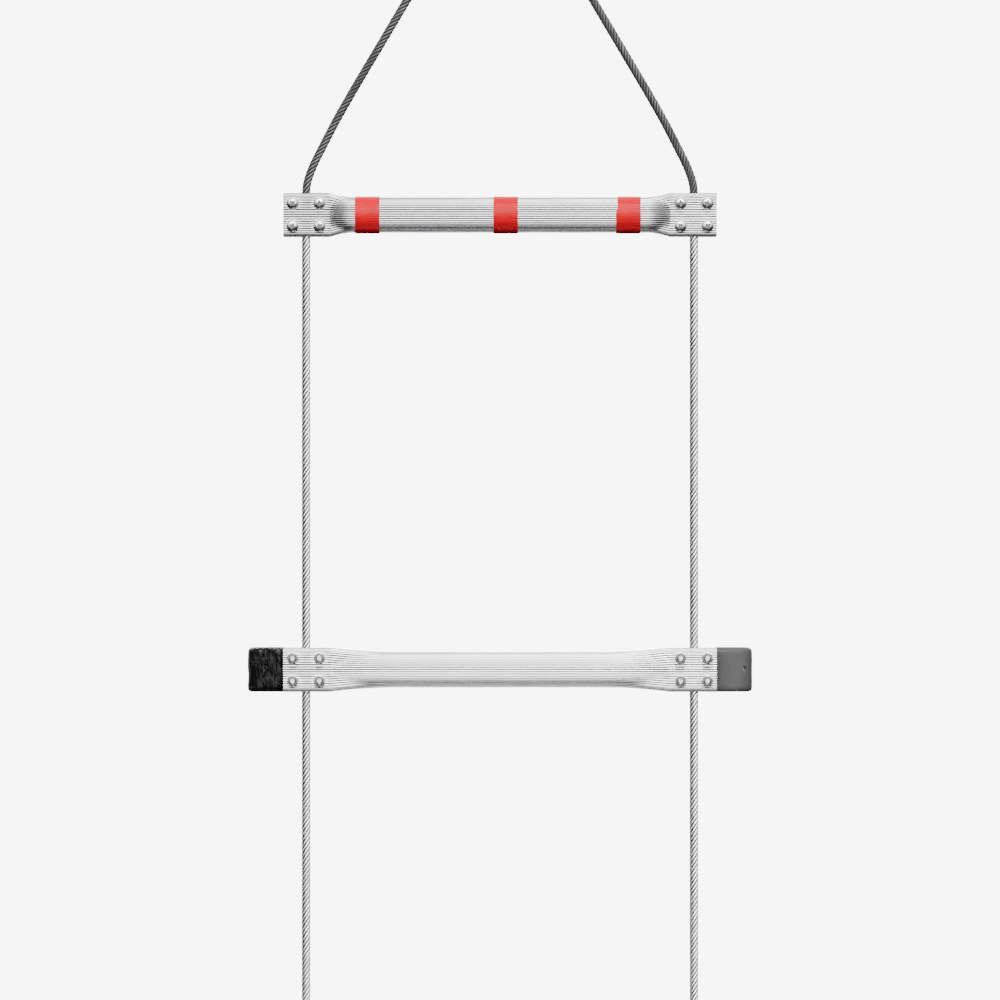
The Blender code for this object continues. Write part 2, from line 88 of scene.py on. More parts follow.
# ---- small helpers ----
def linked(name, data):
    """A new object in the scene."""
    made = bpy.data.objects.new(name, data)
    bpy.context.scene.collection.objects.link(made)
    return made


def written(bm, mesh):
    bm.to_mesh(mesh)
    bm.free()
    return mesh


def smoothed(mesh, sharp):
    mesh.shade_smooth()
    mesh.set_sharp_from_angle(angle=radians(sharp))
    return mesh


def baked(holder, sharp):
    """The mesh that an object's modifiers give."""
    bpy.context.view_layer.update()
    seen = holder.evaluated_get(bpy.context.evaluated_depsgraph_get())
    return smoothed(bpy.data.meshes.new_from_object(seen), sharp)


def closed_ring(first, last, sides):
    """Faces that join the ring of vertices from last to the one from first."""
    return [[last + n, first + n, first + (n + 1) % sides, last + (n + 1) % sides] for n in range(sides)]


def directions(line):
    way = np.gradient(line, axis=0)
    return way / np.linalg.norm(way, axis=1)[:, None]


def mesh_of(name, verts, faces, sharp=40):
    mesh = bpy.data.meshes.new(name)
    mesh.from_pydata([tuple(v) for v in verts], [], faces)
    mesh.validate()
    bm = bmesh.new()
    bm.from_mesh(mesh)
    bmesh.ops.recalc_face_normals(bm, faces=bm.faces)
    written(bm, mesh).shade_smooth()
    if sharp:
        mesh.set_sharp_from_angle(angle=radians(sharp))
    return mesh


def piece(name, mesh, look, body=None, node=None):
    """A shown object with its material, riding on a body and standing for a node."""
    made = linked(name, mesh)
    if not mesh.materials:
        mesh.materials.append(look)
    if node:
        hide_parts(node)
    if body:
        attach(made, body)
    return made


def lofted(rings, closed_ends=True):
    """Vertices and faces of a skin over rings of equal length; each ring is closed."""
    rings = np.asarray(rings, float)
    count, sides = rings.shape[:2]
    verts = rings.reshape(-1, 3)
    index = np.arange(count * sides).reshape(count, sides)
    here, there = index[:-1], index[1:]
    quads = np.stack([here, there, np.roll(there, -1, 1), np.roll(here, -1, 1)], -1).reshape(-1, 4)
    faces = quads.tolist()
    if closed_ends:
        faces.append(index[0].tolist())
        faces.append(index[-1][::-1].tolist())
    return verts, faces


def joined(parts):
    """Several (verts, faces) as one."""
    verts, faces, start = [], [], 0
    for some, more in parts:
        verts.append(np.asarray(some, float))
        faces += [[v + start for v in face] for face in more]
        start += len(some)
    return np.concatenate(verts), faces


def lathe(profile, sides=32):
    """A turned solid about Z from (radius, height) points; a radius of 0 closes it."""
    angles = [2 * pi * n / sides for n in range(sides)]
    return lofted([[(r * cos(a), r * sin(a), z) for a in angles] for r, z in profile])


def merged(mesh, distance=1e-6):
    bm = bmesh.new()
    bm.from_mesh(mesh)
    bmesh.ops.remove_doubles(bm, verts=bm.verts, dist=distance)
    bmesh.ops.recalc_face_normals(bm, faces=bm.faces)
    return written(bm, mesh)


def lathed_mesh(name, profile, sides=32, sharp=40):
    return smoothed(merged(mesh_of(name, *lathe(profile, sides), sharp=sharp)), sharp)


def carved(mesh, cuts, sharp=35):
    """The mesh after Boolean cuts, each (operation, mesh)."""
    holder = linked("carving", mesh)
    tools = []
    for operation, tool_mesh in cuts:
        tool = linked("tool", tool_mesh)
        modifier = holder.modifiers.new("cut", "BOOLEAN")
        modifier.operation = operation
        modifier.object = tool
        if tool_mesh.materials:
            modifier.material_mode = "TRANSFER"
        tools.append(tool)
    done = baked(holder, sharp)
    for leftover in [holder, *tools]:
        bpy.data.objects.remove(leftover)
    return done


def cylinder(radius, length, axis="Z", at=(0, 0, 0), sides=40):
    mesh = bpy.data.meshes.new("cylinder")
    bm = bmesh.new()
    bmesh.ops.create_cone(bm, cap_ends=True, segments=sides, radius1=radius, radius2=radius, depth=length)
    turn = {"X": Matrix.Rotation(pi / 2, 4, "Y"), "Y": Matrix.Rotation(pi / 2, 4, "X"), "Z": Matrix()}[axis]
    written(bm, mesh).transform(Matrix.Translation(at) @ turn)
    return mesh


def block(dims, at=(0, 0, 0)):
    mesh = bpy.data.meshes.new("block")
    bm = bmesh.new()
    bmesh.ops.create_cube(bm, size=1)
    bmesh.ops.scale(bm, vec=dims, verts=bm.verts)
    written(bm, mesh).transform(Matrix.Translation(at))
    return mesh


def smooth_route(route, steps):
    """Points read from one smooth curve through the route, steps to each stretch."""
    route = [Vector(p) for p in route]
    ends = [2 * route[0] - route[1], *route, 2 * route[-1] - route[-2]]
    points = []
    for before, a, b, after in zip(ends, ends[1:], ends[2:], ends[3:]):
        for n in range(steps):
            t = n / steps
            points.append(
                0.5 * (2 * a + (b - before) * t
                       + (2 * before - 5 * a + 4 * b - after) * t**2
                       + (3 * a - before - 3 * b + after) * t**3)
            )
    return points + [route[-1]]


def evenly(points, step):
    """The same line with points a step apart."""
    points = np.array([tuple(p) for p in points])
    along = np.concatenate([[0], np.cumsum(np.linalg.norm(np.diff(points, axis=0), axis=1))])
    count = max(2, round(along[-1] / step) + 1)
    at = np.linspace(0, along[-1], count)
    return np.stack([np.interp(at, along, points[:, k]) for k in range(3)], -1), along[-1]


# ---- materials ----
class Look:
    """A Principled material whose patterns are added one at a time."""

    def __init__(self, name, colour, roughness, metallic=0.0, **sockets):
        self.material = bpy.data.materials.new(name)
        self.material.use_nodes = True
        self.tree = self.material.node_tree
        self.shader = self.tree.nodes["Principled BSDF"]
        self.colour = (*colour, 1)
        self.roughness = roughness
        self.shader.inputs["Base Color"].default_value = self.colour
        self.shader.inputs["Roughness"].default_value = roughness
        self.shader.inputs["Metallic"].default_value = metallic
        for socket, value in sockets.items():
            self.shader.inputs[socket.replace("_", " ")].default_value = value
        self.normal = None

    def node(self, kind, **values):
        made = self.tree.nodes.new(kind)
        for name, value in values.items():
            if hasattr(made, name):
                setattr(made, name, value)
            else:
                made.inputs[name.replace("_", " ")].default_value = value
        return made

    def link(self, a, b):
        self.tree.links.new(a, b)

    def noise(self, scale, stretch=(1, 1, 1), detail=4.0, roughness=0.55, distortion=0.0):
        """A noise pattern; stretch is how fine it is along each axis."""
        place = self.node("ShaderNodeTexCoord")
        mapping = self.node("ShaderNodeMapping")
        mapping.inputs["Scale"].default_value = stretch
        made = self.node("ShaderNodeTexNoise", Scale=scale, Detail=detail, Roughness=roughness)
        made.inputs["Distortion"].default_value = distortion
        self.link(place.outputs["Object"], mapping.inputs["Vector"])
        self.link(mapping.outputs["Vector"], made.inputs["Vector"])
        return made.outputs["Fac"]

    def ranged(self, value, low, high, start=0.35, end=0.65):
        made = self.node("ShaderNodeMapRange")
        made.inputs["From Min"].default_value = start
        made.inputs["From Max"].default_value = end
        made.inputs["To Min"].default_value = low
        made.inputs["To Max"].default_value = high
        self.link(value, made.inputs["Value"])
        return made.outputs["Result"]

    def tint(self, fac, other):
        """Mix the colour so far with another where fac is 1."""
        mix = self.node("ShaderNodeMix", data_type="RGBA")
        old = self.shader.inputs["Base Color"]
        if old.links:
            self.link(old.links[0].from_socket, mix.inputs[6])
        else:
            mix.inputs[6].default_value = self.colour
        mix.inputs[7].default_value = (*other, 1)
        self.link(fac, mix.inputs[0])
        self.link(mix.outputs[2], old)
        return self

    def rough(self, value):
        self.link(value, self.shader.inputs["Roughness"])
        return self

    def bump(self, height, distance, strength=1.0):
        made = self.node("ShaderNodeBump", Distance=distance, Strength=strength)
        self.link(height, made.inputs["Height"])
        if self.normal:
            self.link(self.normal, made.inputs["Normal"])
        self.normal = made.outputs["Normal"]
        self.link(self.normal, self.shader.inputs["Normal"])
        return self


def rung_look(name, colour):
    look = Look(name, colour, 0.34, 1.0)
    lines = look.noise(60, (0.06, 12, 12), 5)
    smears = look.noise(14, (0.5, 2.5, 2.5), 4, distortion=0.6)
    pits = look.noise(900, (1, 1, 1), 2)
    look.tint(look.ranged(lines, 0, 0.55, 0.42, 0.70), tuple(0.74 * c for c in colour))
    look.tint(look.ranged(smears, 0, 0.40, 0.50, 0.75), tuple(0.80 * c for c in colour))
    # Painted shade: the groove attribute paints groove floors nearly black and pressed flats grey, where
    # shade falls in the ribs.
    groove = look.node("ShaderNodeAttribute", attribute_name="groove")
    look.tint(look.ranged(groove.outputs["Fac"], 0, 0.92, 0.30, 0.95), (0.05, 0.05, 0.05))
    look.rough(look.ranged(smears, 0.14, 0.25))
    look.bump(lines, 0.00012, 0.5)
    return look.bump(pits, 0.00004, 0.35).material


def zinc_look(name="bright_zinc", colour=(0.78, 0.79, 0.80), roughness=0.22):
    look = Look(name, colour, roughness, 1.0)
    blotches = look.noise(220, detail=3)
    grain = look.noise(1400, detail=2)
    look.tint(look.ranged(blotches, 0, 0.4, 0.45, 0.7), tuple(0.62 * c for c in colour))
    look.rough(look.ranged(blotches, roughness * 0.8, roughness * 1.5))
    return look.bump(grain, 0.00003, 0.4).material


def wire_look(name, colour, dark, roughness, relief):
    """Laid wire: fine wires run at a slant on every strand, with painted shade on each strand's inner side
    and random grime.
    """
    look = Look(name, colour, roughness, 1.0)
    around = look.node("ShaderNodeAttribute", attribute_name="round_strand")
    along = look.node("ShaderNodeAttribute", attribute_name="along_strand")
    turn = look.node("ShaderNodeMath", operation="MULTIPLY_ADD")
    turn.inputs[1].default_value = 9
    look.link(around.outputs["Fac"], turn.inputs[0])
    look.link(along.outputs["Fac"], turn.inputs[2])
    wave = look.node("ShaderNodeMath", operation="SINE")
    look.link(turn.outputs[0], wave.inputs[0])
    wires = look.ranged(wave.outputs[0], 0, 1, -1, 0.6)
    outside = look.node("ShaderNodeAttribute", attribute_name="outside")
    grime = look.noise(120, (1, 1, 0.4), 4)
    # Painted shade: each strand's inner side, towards its neighbours and the core, is painted nearly as dark
    # as the dark colour.
    look.tint(look.ranged(outside.outputs["Fac"], 0.97, 0, 0.50, 0.93), dark)
    look.tint(look.ranged(grime, 0, 0.30, 0.5, 0.75), dark)
    look.rough(look.ranged(grime, roughness * 0.8, roughness * 1.4))
    return look.bump(wires, relief, 0.6).material


def tape_look():
    look = Look("red_tape", (0.50, 0.0, 0.010), 0.20, 0.0, Specular_IOR_Level=0.09)
    wrinkles = look.noise(240, (0.5, 1, 1), 4, distortion=0.8)
    faded = look.noise(40, detail=3)
    look.tint(look.ranged(faded, 0, 0.5, 0.45, 0.75), (0.34, 0.0, 0.005))
    look.rough(look.ranged(wrinkles, 0.16, 0.28))
    return look.bump(wrinkles, 0.00010, 0.35).material


def rubber_look(name, colour, low, high, folds, gloss):
    """Moulded rubber; folds is how deep its crinkles are, which run up and down."""
    look = Look(name, colour, high, 0.0, Specular_IOR_Level=gloss)
    marks = look.noise(60, (1, 1, 0.6), 5, distortion=0.4)
    crinkle = look.noise(330, (1, 1, 0.22), 3, 0.5, 1.2)
    grain = look.noise(1600, detail=2)
    look.tint(look.ranged(marks, 0, 0.4, 0.42, 0.72), tuple(1.6 * c for c in colour))
    look.rough(look.ranged(marks, low, high))
    look.bump(look.ranged(crinkle, 0, 1, 0.50, 0.74), folds, 0.9)
    return look.bump(grain, 0.00004, 0.4).material


def forged_look():
    look = Look("satin_forging", (0.62, 0.63, 0.65), 0.30, 1.0)
    skin = look.noise(160, detail=5)
    drawn = look.noise(500, (1, 1, 0.15), 3)
    look.tint(look.ranged(skin, 0, 0.5, 0.45, 0.72), (0.40, 0.41, 0.43))
    look.rough(look.ranged(skin, 0.24, 0.42))
    look.bump(drawn, 0.00004, 0.4)
    return look.bump(skin, 0.00010, 0.35).material


def pressed_look():
    look = Look("pressed_aluminium", (0.74, 0.75, 0.77), 0.36, 1.0)
    streaks = look.noise(260, (1, 1, 0.10), 4)
    spots = look.noise(180, detail=4)
    look.tint(look.ranged(spots, 0, 0.5, 0.48, 0.72), (0.50, 0.51, 0.53))
    look.rough(look.ranged(streaks, 0.28, 0.48))
    return look.bump(streaks, 0.00006, 0.5).material


def floor_look():
    look = Look("pale_floor", (0.60, 0.60, 0.60), 0.80)
    return look.bump(look.noise(30, detail=3), 0.0004, 0.2).material


# Painted light: one aluminium in two tones, darker for the top rung and lighter for the lower rungs, standing
# in for how each rung is lit.
SHADED_RUNG_COPY = rung_look("aluminium_shaded_copy", (0.58, 0.585, 0.60))
LIT_RUNG_COPY = rung_look("aluminium_lit_copy", (0.86, 0.87, 0.88))
ZINC = zinc_look()
NUT = zinc_look("nut_zinc", (0.20, 0.20, 0.21), 0.26)
# Painted shade: dark zinc for the faces that the cross recesses and nut bores cut, where shade falls.
RECESS_SHADE = zinc_look("recess", (0.16, 0.16, 0.16), 0.45)
STRAP = zinc_look("strap_zinc", (0.66, 0.67, 0.69), 0.34)
SIDE_WIRE = wire_look("side_wire", (0.90, 0.91, 0.92), (0.03, 0.03, 0.03), 0.30, 0.00005)
# Painted shade: the bridle is the same rope as the sides, painted dark for the darker light on its slanted
# legs.
SHADED_BRIDLE_WIRE = wire_look("bridle_wire", (0.13, 0.13, 0.125), (0.05, 0.05, 0.048), 0.62, 0.00003)
TAPE = tape_look()
GLOSSY_RUBBER = rubber_look("glossy_rubber", (0.003, 0.0031, 0.0033), 0.06, 0.13, 0.0018, 0.18)
DULL_RUBBER = rubber_look("dull_rubber", (0.050, 0.050, 0.051), 0.45, 0.62, 0.0001, 0.2)
FORGED = forged_look()
PRESSED = pressed_look()
SPRING = zinc_look("spring_wire", (0.45, 0.45, 0.46), 0.25)


# ---- camera, floor and light ----
# Brightness of the surroundings by direction: (component, level) stops for up, for away from the
# camera and for sideways, multiplied together.
WORLD_HEIGHTS = [
    (-1, 0.03), (-0.55, 0.04), (-0.28, 0.10), (-0.13, 0.45), (0.0, 2.4),
    (0.28, 7.5), (0.60, 10.5), (0.84, 2.6), (1, 1.8),
]
WORLD_DEPTHS = [(-1, 1.0), (-0.45, 1.0), (0.1, 0.45), (1, 0.42)]
WORLD_SIDES = [(-1, 0.08), (-0.70, 0.18), (-0.32, 1.0), (0.32, 1.0), (0.70, 0.22), (1, 0.10)]
BACKDROP = 8.0
SENSOR = 36  # in millimetres
FLOOR_R = 0.30


def add_camera():
    data = bpy.data.cameras.new("camera")
    data.sensor_width = SENSOR
    data.lens = SENSOR * CAMERA_BACK / VIEW_SIZE
    data.clip_end = 50
    camera = linked("camera", data)
    camera.location = (0, -CAMERA_BACK, RUNG_Z[0] - VIEW_DROP - CAMERA_LOWER)
    data.shift_y = CAMERA_LOWER / VIEW_SIZE
    camera.rotation_euler = (pi / 2, 0, 0)
    bpy.context.scene.camera = camera


def add_floor():
    mesh = bpy.data.meshes.new("floor")
    bm = bmesh.new()
    bmesh.ops.create_circle(bm, cap_ends=True, segments=96, radius=FLOOR_R)
    floor = piece("floor", written(bm, mesh), floor_look())
    floor.location.z = FLOOR_Z


def add_area(name, place, aim, width, height, power):
    data = bpy.data.lights.new(name, "AREA")
    data.shape = "RECTANGLE"
    data.size = width
    data.size_y = height
    data.energy = power
    light = linked(name, data)
    light.location = place
    light.rotation_euler = (Vector(aim) - Vector(place)).to_track_quat("-Z", "Y").to_euler()


def add_world():
    """Soft light from in front and above, dim behind and below; plain white behind the object."""
    world = bpy.data.worlds.new("studio")
    bpy.context.scene.world = world
    world.use_nodes = True
    tree = world.node_tree
    tree.nodes.clear()

    def spread(value, stops):
        """A curve through (value, result) stops, with values from -1 to 1."""
        low = tree.nodes.new("ShaderNodeMapRange")
        low.inputs["From Min"].default_value = -1
        ramp = tree.nodes.new("ShaderNodeValToRGB")
        ramp.color_ramp.interpolation = "EASE"
        for _ in stops[2:]:
            ramp.color_ramp.elements.new(0.5)
        for element, (at, level) in zip(ramp.color_ramp.elements, stops):
            element.position = (at + 1) / 2
            element.color = (level, level, level, 1)
        tree.links.new(value, low.inputs["Value"])
        tree.links.new(low.outputs["Result"], ramp.inputs["Fac"])
        return ramp.outputs["Color"]

    def times(a, b):
        made = tree.nodes.new("ShaderNodeMath")
        made.operation = "MULTIPLY"
        tree.links.new(a, made.inputs[0])
        tree.links.new(b, made.inputs[1])
        return made.outputs[0]

    place = tree.nodes.new("ShaderNodeTexCoord")
    split = tree.nodes.new("ShaderNodeSeparateXYZ")
    tree.links.new(place.outputs["Generated"], split.inputs[0])
    heights = spread(split.outputs["Z"], WORLD_HEIGHTS)
    depths = spread(split.outputs["Y"], WORLD_DEPTHS)
    sides = spread(split.outputs["X"], WORLD_SIDES)
    soft = tree.nodes.new("ShaderNodeBackground")
    tree.links.new(times(times(heights, depths), sides), soft.inputs["Strength"])
    plain = tree.nodes.new("ShaderNodeBackground")
    plain.inputs["Strength"].default_value = BACKDROP
    rays = tree.nodes.new("ShaderNodeLightPath")
    mix = tree.nodes.new("ShaderNodeMixShader")
    out = tree.nodes.new("ShaderNodeOutputWorld")
    tree.links.new(rays.outputs["Is Camera Ray"], mix.inputs["Fac"])
    tree.links.new(soft.outputs[0], mix.inputs[1])
    tree.links.new(plain.outputs[0], mix.inputs[2])
    for node in (soft, plain):
        node.inputs["Color"].default_value = (1, 1, 1, 1)
    tree.links.new(mix.outputs[0], out.inputs["Surface"])


def add_lights():
    centre = (0, 0, RUNG_Z[0] - VIEW_DROP)
    add_area("key", (0.35, -1.1, 1.3), centre, 0.7, 0.5, 20)
    add_area("back", (-0.9, 1.6, 0.6), centre, 1.2, 0.8, 8)


add_camera()
add_floor()
add_world()
add_lights()

# ---- wire ropes ----
# Half of the bridle's route in X and Z, from inside the top rung to the top of the eye; heights
# below 0 are from the anchor point, and the other half mirrors it.
BRIDLE_ROUTE = [
    (0.1535, -0.4658), (0.1535, -0.4570), (0.1535, -0.4490), (0.1526, -0.4410), (0.1502, -0.4330),
    (0.1466, -0.4245), (0.1398, -0.4110), (0.1300, -0.3920), (0.1152, -0.3660), (0.0974, -0.3360),
    (0.0796, -0.3060), (0.0618, -0.2760), (0.0448, -0.2470), (0.0288, -0.2200), (0.0172, -0.1995),
    (0.0098, -0.1840), (0.0056, -0.1710), (0.0039, -0.1600), (0.0038, -0.1500), (0.0038, -0.1380),
    (0.0038, -0.1265), (0.0062, -0.1172), (0.0120, -0.1085), (0.0158, -0.1010), (0.0166, -0.0935),
    (0.0145, -0.0876), (0.0100, -0.0830), (0.0050, -0.0804), (0.0000, -0.0797),
]
LAY = 0.0250  # one strand's way once round the rope
STRANDS = 6
STRAND_ORBIT = 0.00238
STRAND_R = 0.00112
CORE_R = 0.00150
WIRE_LAY = 0.0110


def strand_rings(centre, tangent, phase, step):
    """One strand's rings as it winds round the rope's line; all ropes lie in a plane of constant Y."""
    count = len(centre)
    depth = np.tile([0.0, 1.0, 0.0], (count, 1))
    across = np.cross(tangent, depth)
    turn = phase - 2 * pi * np.arange(count) * step / LAY
    out = np.cos(turn)[:, None] * across + np.sin(turn)[:, None] * depth
    line = centre + STRAND_ORBIT * out
    way = directions(line)
    side = np.cross(way, out)
    side /= np.linalg.norm(side, axis=1)[:, None]
    out = np.cross(side, way)
    sides = 10
    angle = 2 * pi * (np.arange(sides) + 0.5) / sides
    ring = np.cos(angle)[None, :, None] * out[:, None] + np.sin(angle)[None, :, None] * side[:, None]
    return line[:, None] + STRAND_R * ring, angle


def core_rings(centre, tangent, sides=6):
    """The plain core that the strands lie on, which fills the rope's middle."""
    depth = np.tile([0.0, 1.0, 0.0], (len(centre), 1))
    across = np.cross(tangent, depth)
    angle = 2 * pi * np.arange(sides) / sides
    out = np.cos(angle)[None, :, None] * across[:, None] + np.sin(angle)[None, :, None] * depth[:, None]
    return centre[:, None] + CORE_R * out


def rope(name, points, look, node):
    """A six-strand wire rope along points, as a mesh, with the marks its material reads."""
    step = 0.0015
    centre, length = evenly(points, step)
    step = length / (len(centre) - 1)
    tangent = directions(centre)
    parts, round_strand, along_strand, outside = [], [], [], []
    for k in range(STRANDS):
        rings, angle = strand_rings(centre, tangent, 2 * pi * k / STRANDS, step)
        parts.append(lofted(rings))
        count = len(centre)
        round_strand.append(np.tile(angle, count))
        along_strand.append(np.repeat(2 * pi * np.arange(count) * step / WIRE_LAY * 2, len(angle)))
        # 1 where a strand faces out of the rope; the material paints shade where it is low
        outside.append(np.tile(0.5 + 0.5 * np.cos(angle), count))
    core = core_rings(centre[::3], tangent[::3])
    parts.append(lofted(core))
    for values in (round_strand, along_strand, outside):
        values.append(np.zeros(core.shape[0] * core.shape[1]))
    mesh = mesh_of(name, *joined(parts), sharp=60)
    marks = (("round_strand", round_strand), ("along_strand", along_strand), ("outside", outside))
    for attribute, values in marks:
        made = mesh.attributes.new(attribute, "FLOAT", "POINT")
        made.data.foreach_set("value", np.concatenate(values).astype(np.float32))
    return piece(name, mesh, look, node=node), centre, length


def side_route(side, upper, lower):
    """A rope span's route from inside one rung to inside, or below, the next."""
    count = 7
    return [(side * ROPE_X, 0, upper + (lower - upper) * n / count) for n in range(count + 1)]


def add_bridle():
    half = [(x, 0, z) for x, z in BRIDLE_ROUTE]
    points = smooth_route(half + [(-x, 0, z) for x, _, z in half[-2::-1]], 12)
    made, line, length = rope("bridle_wire_rope", points, SHADED_BRIDLE_WIRE, "bridle_rope")
    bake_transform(made)


def add_span(side_name, side, upper, lower, node):
    points = smooth_route(side_route(side, upper, lower), 8)
    made, line, length = rope(f"{node}_laid", points, SIDE_WIRE, node)
    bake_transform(made)


def add_ropes():
    add_bridle()
    inside = GAP / 2
    for side_name, side in (("left", -1), ("right", 1)):
        add_span(side_name, side, RUNG_Z[0] - inside, RUNG_Z[1] + inside,
                 f"{side_name}_upper_rope")
        rope_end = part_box(f"{side_name}_lower_rope")[0][2]
        add_span(side_name, side, RUNG_Z[1] - inside, rope_end,
                 f"{side_name}_lower_rope")


# ---- rungs ----
RIBS = 46
RIB_POINTS = 4
RIB_DEPTH = 0.00058
# Painted shade on the rungs: groove floors and pressed flats are painted darker where shade falls.
PRESSED_FLAT_SHADE = 0.47  # the least darkening of a pressed flat, where a groove's floor has 1


def flat_point(way, depth, height, corner):
    """The point of a round-cornered rectangle that lies in a direction."""
    tiny = 1e-9
    point = way * min(depth / max(abs(way.x), tiny), height / max(abs(way.y), tiny))
    core = Vector((depth - corner, height - corner))
    if abs(point.x) > core.x and abs(point.y) > core.y:
        nearest = Vector((core.x if point.x > 0 else -core.x, core.y if point.y > 0 else -core.y))
        along = way.dot(nearest)
        point = way * (along + (along**2 - nearest.length_squared + corner**2) ** 0.5)
    return point


def section_lengths(points):
    steps = np.linalg.norm(np.roll(points, -1, 0) - points, axis=1)
    return np.concatenate([[0], np.cumsum(steps)])


def even_section(flat, inset, count):
    """Points spaced evenly round the section that is flat parts pressed, as (depth, height) and normals."""
    coarse = 360
    ring = []
    for n in range(coarse):
        angle = 2 * pi * n / coarse
        way = Vector((cos(angle), sin(angle)))
        pressed = flat_point(way, FLAT_DEPTH / 2 - inset, FLAT_HEIGHT / 2 - inset, CORNER_R - inset * 0.6)
        ring.append((way * (TUBE_R - inset)).lerp(pressed, flat))
    ring = np.array([tuple(p) for p in ring])
    lengths = section_lengths(ring)
    closed = np.vstack([ring, ring[:1]])
    at = np.linspace(0, lengths[-1], count, endpoint=False)
    points = np.stack([np.interp(at, lengths, closed[:, k]) for k in range(2)], -1)
    tangent = np.roll(points, -1, 0) - np.roll(points, 1, 0)
    tangent /= np.linalg.norm(tangent, axis=1)[:, None]
    return points, np.stack([tangent[:, 1], -tangent[:, 0]], -1)


def rung_stations(taper):
    """(x, how far pressed, how much of the rib depth is left) from the middle to the right end."""
    start = FLAT_START - taper
    stations = [(start * n / 14, 0.0, 1.0) for n in range(14)]
    for n in range(17):
        t = n / 16
        stations.append((start + taper * t, t**1.75, 1 - 0.25 * t))
    for n in range(1, 25):
        t = n / 24
        stations.append((FLAT_START + (RUNG_HALF - FLAT_START) * t, 1.0, 0.72))
    return stations


def near_screw(x, z):
    """1 on a screw's seat, falling to 0 a millimetre outside it."""
    nearest = min(
        ((x - ROPE_X - dx) ** 2 + (z - dz) ** 2) ** 0.5
        for dx in (-SCREW_DX, SCREW_DX)
        for dz in (-SCREW_DZ, SCREW_DZ)
    )
    return float(np.clip((0.0060 - nearest) / 0.0012, 0, 1))


def rung_skin(taper, seed):
    """The ribbed outer skin's rings, right half then mirrored, with the dents of pressing, and each point's
    painted shade: most on groove floors, some over all of a pressed flat, less round the screw seats.
    """
    count = RIBS * RIB_POINTS
    profile = np.array([1.0, 0.16, 0.0, 0.16])
    groove = np.tile(profile, RIBS)
    rings = []
    for x, flat, ribbed in rung_stations(taper):
        points, normals = even_section(flat, 0, count)
        for side in ((1,) if x == 0 else (1, -1)):
            ring, shade = [], []
            for n in range(count):
                y, z = points[n]
                ny, nz = normals[n]
                depth = RIB_DEPTH * groove[n] * ribbed
                wave = noise.noise(Vector((side * x * 45 + seed, y * 60, z * 60))) * 0.00016
                # painted shade: 1 on a groove's floor, 0.16 on a rib's flank and none on a crest
                tone = groove[n]
                if flat > 0.98:
                    seat = near_screw(x, z) * float(np.clip((abs(ny) - 0.9) / 0.1, 0, 1))
                    depth *= 1 - 0.85 * seat
                    tone = max(PRESSED_FLAT_SHADE, tone * 0.75 * (1 - 0.85 * seat))
                    wave *= 1.8
                shade.append(tone)
                depth -= wave
                ring.append((side * x, y - ny * depth, z - nz * depth))
            rings.append((side * x, ring, shade))
    rings.sort(key=lambda r: r[0])
    return [ring for _, ring, _ in rings], [shade for _, _, shade in rings]


def rung_bore(taper):
    """The plain inner skin's rings, left to right."""
    rings = []
    for x, flat, _ in rung_stations(taper)[::2] + [(RUNG_HALF, 1.0, 1.0)]:
        points, _ = even_section(flat, TUBE_WALL, 46)
        for side in ((1,) if x == 0 else (1, -1)):
            rings.append((side * x, [(side * x, y, z) for y, z in points]))
    rings.sort(key=lambda r: r[0])
    kept = [rings[0]]
    for here in rings[1:]:
        if here[0] - kept[-1][0] > 1e-5:
            kept.append(here)
    return [ring for _, ring in kept]


def tube_shell(outer, bore):
    """One closed wall from an outer and an inner skin of unlike ring counts, joined at both ends."""
    verts, faces = lofted(outer, closed_ends=False)
    inner, inner_faces = lofted(bore, closed_ends=False)
    start = len(verts)
    sides, inner_sides = len(outer[0]), len(bore[0])
    faces += [[v + start for v in face[::-1]] for face in inner_faces]
    ratio = sides // inner_sides
    for outer_base, inner_base in ((0, start), (len(verts) - sides, start + len(inner) - inner_sides)):
        for n in range(inner_sides):
            fan = [outer_base + (n * ratio + k) % sides for k in range(ratio + 1)]
            m = (n + 1) % inner_sides
            faces.append(fan + [inner_base + m, inner_base + n])
    return np.vstack([verts, inner]), faces


def add_rung(name, level, taper):
    skin, shades = rung_skin(taper, 7.0 * level)
    mesh = mesh_of(name, *tube_shell(skin, rung_bore(taper)), sharp=0)
    # painted shade at each point of the outer skin, read by the rung material
    groove_shade = mesh.attributes.new("groove", "FLOAT", "POINT")
    values = np.zeros(len(mesh.vertices), np.float32)
    values[:np.size(shades)] = np.ravel(shades)
    groove_shade.data.foreach_set("value", values)
    hole_r = ROPE_D / 2 + 0.0004
    holes = [
        ("DIFFERENCE", cylinder(hole_r, 0.06, "Z", (side * ROPE_X, 0, 0), 24)) for side in (-1, 1)
    ]
    mesh = carved(mesh, holes, sharp=62)
    # the top rung takes the copy painted darker, the others the copy painted lighter
    look = SHADED_RUNG_COPY if level == 0 else LIT_RUNG_COPY
    made = piece(f"{name}_ribbed", mesh, look)
    made.location.z = RUNG_Z[level]
    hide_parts(f"{name}_tube")
    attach(made, name)


